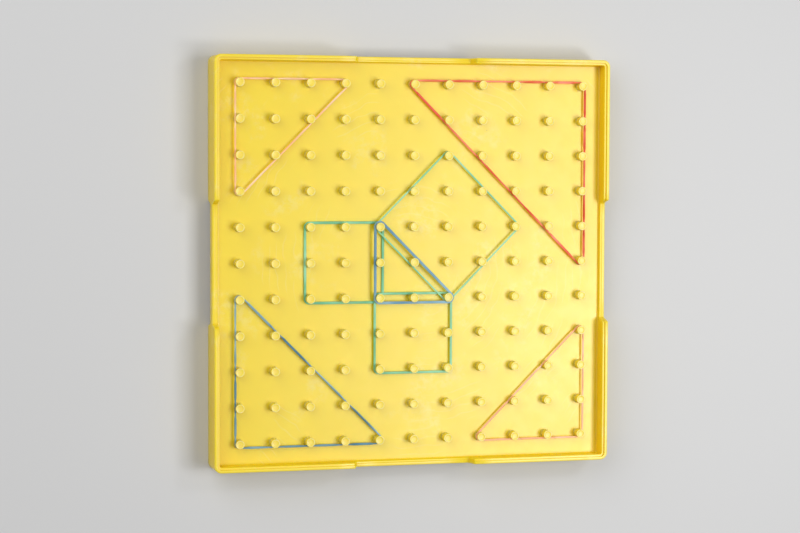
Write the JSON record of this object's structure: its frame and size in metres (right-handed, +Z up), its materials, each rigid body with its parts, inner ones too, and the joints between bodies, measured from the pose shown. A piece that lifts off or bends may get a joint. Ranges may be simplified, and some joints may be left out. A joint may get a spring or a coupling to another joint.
{
  "type": "geoboard",
  "caption": "Square double-sided geoboard tray with a grid of headed pegs, a stepped rim with low middles, and coloured rubber bands stretched into triangles and squares.",
  "frame": {"origin": "centre of the board's footprint, on the surface that its rim stands on", "axes": "+Z up out of the square peg grid, +X along a peg row to the right, +Y towards the back peg row"},
  "size_m": [0.23, 0.23, 0.02],
  "materials": {
    "yellow_plastic": "satin moulded plastic",
    "peach_rubber": "matt stretched rubber",
    "pale_peach_rubber": "matt stretched rubber",
    "red_rubber": "matt stretched rubber",
    "green_rubber": "matt stretched rubber",
    "mint_rubber": "matt stretched rubber",
    "blue_rubber": "matt stretched rubber"
  },
  "bodies": {
    "board": {"base_plate": "yellow_plastic", "peg_row_01": "yellow_plastic", "peg_row_02": "yellow_plastic", "peg_row_03": "yellow_plastic", "peg_row_04": "yellow_plastic", "peg_row_05": "yellow_plastic", "peg_row_06": "yellow_plastic", "peg_row_07": "yellow_plastic", "peg_row_08": "yellow_plastic", "peg_row_09": "yellow_plastic", "peg_row_10": "yellow_plastic", "peg_row_11": "yellow_plastic", "reverse_centre_peg": "yellow_plastic", "reverse_circle_pegs": "yellow_plastic", "rim_back_low_rail": "yellow_plastic", "rim_back_wall_left": "yellow_plastic", "rim_back_wall_right": "yellow_plastic", "rim_corner_back_left": "yellow_plastic", "rim_corner_back_right": "yellow_plastic", "rim_corner_front_left": "yellow_plastic", "rim_corner_front_right": "yellow_plastic", "rim_front_low_rail": "yellow_plastic", "rim_front_wall_left": "yellow_plastic", "rim_front_wall_right": "yellow_plastic", "rim_left_low_rail": "yellow_plastic", "rim_left_wall_back": "yellow_plastic", "rim_left_wall_front": "yellow_plastic", "rim_right_low_rail": "yellow_plastic", "rim_right_wall_back": "yellow_plastic", "rim_right_wall_front": "yellow_plastic"},
    "band_peach_triangle": {"band_peach_triangle": "peach_rubber"},
    "band_red_triangle": {"band_red_triangle": "red_rubber"},
    "band_blue_corner_triangle": {"band_blue_corner_triangle": "blue_rubber"},
    "band_pale_peach_triangle": {"band_pale_peach_triangle": "pale_peach_rubber"},
    "band_green_left_square": {"band_green_left_square": "green_rubber"},
    "band_green_lower_square": {"band_green_lower_square": "green_rubber"},
    "band_mint_tilted_square": {"band_mint_tilted_square": "mint_rubber"},
    "band_blue_middle_triangle": {"band_blue_middle_triangle": "blue_rubber"}
  },
  "joints": [
    {"name": "peach_triangle_lift", "type": "slide", "parent": "board", "child": "band_peach_triangle", "axis": [0, 0, 1], "range_m": [0, 0.012]},
    {"name": "red_triangle_lift", "type": "slide", "parent": "board", "child": "band_red_triangle", "axis": [0, 0, 1], "range_m": [0, 0.012]},
    {"name": "blue_corner_triangle_lift", "type": "slide", "parent": "board", "child": "band_blue_corner_triangle", "axis": [0, 0, 1], "range_m": [0, 0.012]},
    {"name": "pale_peach_triangle_lift", "type": "slide", "parent": "board", "child": "band_pale_peach_triangle", "axis": [0, 0, 1], "range_m": [0, 0.012]},
    {"name": "green_left_square_lift", "type": "slide", "parent": "board", "child": "band_green_left_square", "axis": [0, 0, 1], "range_m": [0, 0.012]},
    {"name": "green_lower_square_lift", "type": "slide", "parent": "band_green_left_square", "child": "band_green_lower_square", "axis": [0, 0, 1], "range_m": [0, 0.012]},
    {"name": "mint_tilted_square_lift", "type": "slide", "parent": "band_green_lower_square", "child": "band_mint_tilted_square", "axis": [0, 0, 1], "range_m": [0, 0.012]},
    {"name": "blue_middle_triangle_lift", "type": "slide", "parent": "band_mint_tilted_square", "child": "band_blue_middle_triangle", "axis": [0, 0, 1], "range_m": [0, 0.012]}
  ]
}
